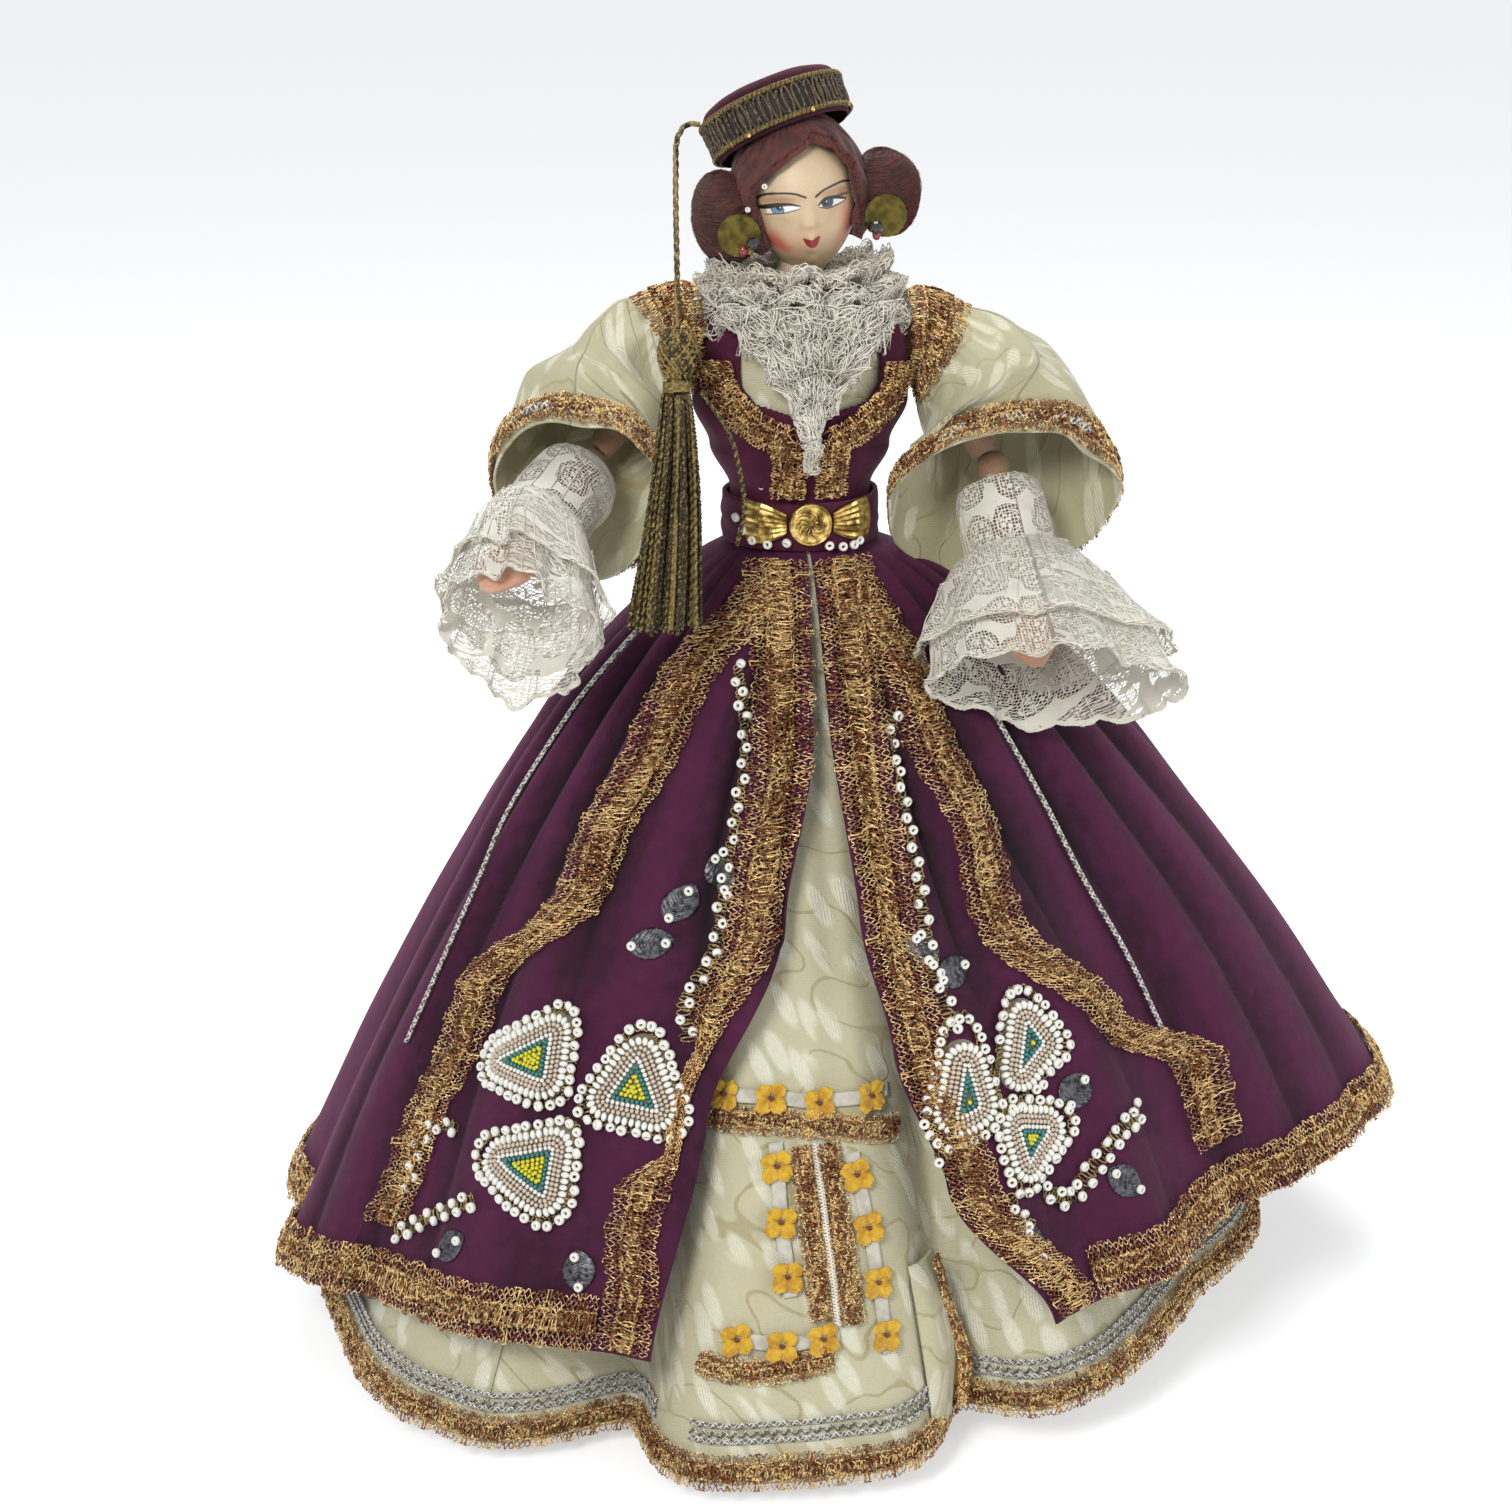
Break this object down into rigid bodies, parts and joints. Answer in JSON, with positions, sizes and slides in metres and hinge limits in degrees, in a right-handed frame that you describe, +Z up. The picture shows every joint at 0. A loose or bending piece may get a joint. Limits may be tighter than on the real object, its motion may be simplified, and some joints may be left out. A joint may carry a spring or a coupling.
{
  "type": "costume doll",
  "caption": "Standing costume doll in a velvet overskirt and brocade underskirt, with a fez and long tassel; head, tassel, shoulders and elbows move.",
  "frame": {"origin": "middle of the doll's footprint on the floor it stands on", "axes": "+Z up, the doll faces -Y, +X towards the doll's own left hand"},
  "size_m": [0.368, 0.325, 0.4009],
  "materials": {
    "stand_card": "matte",
    "cotton": "matte",
    "body_cloth": "matte",
    "plum_velvet": "matte",
    "cream_brocade": "satin",
    "gold_lace": "satin",
    "white_lace": "matte",
    "painted_composition": "satin",
    "auburn_mohair": "matte",
    "maroon_velvet": "matte",
    "dark_braid": "satin",
    "bronze_thread": "satin",
    "gilt_metal": "polished",
    "black_glass": "gloss",
    "seed_beads": "gloss",
    "peach_felt": "matte"
  },
  "bodies": {
    "body": {"skirt_cone": "stand_card", "petticoat": "cotton", "torso": "body_cloth", "blouse": "cream_brocade", "bodice": "plum_velvet", "neckline_lace_right": "gold_lace", "neckline_lace_left": "gold_lace", "belt": "plum_velvet", "buckle_disc": "gilt_metal", "buckle_shell_right": "gilt_metal", "buckle_shell_left": "gilt_metal", "underskirt_front": "cream_brocade", "underskirt_left": "cream_brocade", "underskirt_right": "cream_brocade", "underskirt_trim": "gold_lace", "skirt_front_right": "plum_velvet", "skirt_lace_right": "gold_lace", "skirt_front_left": "plum_velvet", "skirt_lace_left": "gold_lace", "skirt_back": "plum_velvet", "skirt_lace_back": "gold_lace", "bead_medallion_right_1": "seed_beads", "bead_medallion_right_2": "seed_beads", "bead_medallion_right_3": "seed_beads", "bead_medallion_left_1": "seed_beads", "bead_medallion_left_2": "seed_beads", "bead_medallion_left_3": "seed_beads", "lace_ruff": "white_lace", "lace_jabot": "white_lace", "neck": "body_cloth"},
    "head": {"head": "painted_composition", "hair_cap": "auburn_mohair", "hair_roll_right": "auburn_mohair", "hair_roll_left": "auburn_mohair", "fez_crown": "maroon_velvet", "fez_band": "dark_braid", "earring_disc_right": "gilt_metal", "earring_bead_right": "black_glass", "earring_disc_left": "gilt_metal", "earring_bead_left": "black_glass"},
    "tassel": {"tassel_cord": "bronze_thread", "tassel_knot": "bronze_thread", "tassel_binding": "bronze_thread", "tassel_skirt": "bronze_thread"},
    "arm_right": {"upper_arm_right": "body_cloth", "sleeve_right": "cream_brocade", "sleeve_trim_right": "gold_lace", "shoulder_lace_right": "gold_lace"},
    "forearm_right": {"forearm_right": "body_cloth", "hand_right": "peach_felt", "undersleeve_right": "white_lace", "cuff_ruffle_right": "white_lace"},
    "arm_left": {"upper_arm_left": "body_cloth", "sleeve_left": "cream_brocade", "sleeve_trim_left": "gold_lace", "shoulder_lace_left": "gold_lace"},
    "forearm_left": {"forearm_left": "body_cloth", "hand_left": "peach_felt", "undersleeve_left": "white_lace", "cuff_ruffle_left": "white_lace"}
  },
  "joints": [
    {"name": "head_turn", "type": "hinge", "parent": "body", "child": "head", "pos_m": [-0.01405, -0.01457, 0.34], "axis": [0, 0, 1], "range_deg": [0, 25]},
    {"name": "tassel_swing", "type": "hinge", "parent": "head", "child": "tassel", "pos_m": [-0.04505, -0.00757, 0.382], "axis": [-1, 0, 0], "range_deg": [0, 20]},
    {"name": "shoulder_right", "type": "hinge", "parent": "body", "child": "arm_right", "pos_m": [-0.04805, -0.01257, 0.321], "axis": [0, 1, 0], "range_deg": [0, 45]},
    {"name": "elbow_right", "type": "hinge", "parent": "arm_right", "child": "forearm_right", "pos_m": [-0.08005, -0.02257, 0.282], "axis": [-0.8371, 0.5471, 0], "range_deg": [-15, 20]},
    {"name": "shoulder_left", "type": "hinge", "parent": "body", "child": "arm_left", "pos_m": [0.02195, -0.01257, 0.317], "axis": [0, -1, 0], "range_deg": [0, 45]},
    {"name": "elbow_left", "type": "hinge", "parent": "arm_left", "child": "forearm_left", "pos_m": [0.04595, -0.01857, 0.276], "axis": [-0.9866, -0.1629, 0], "range_deg": [0, 40]}
  ]
}
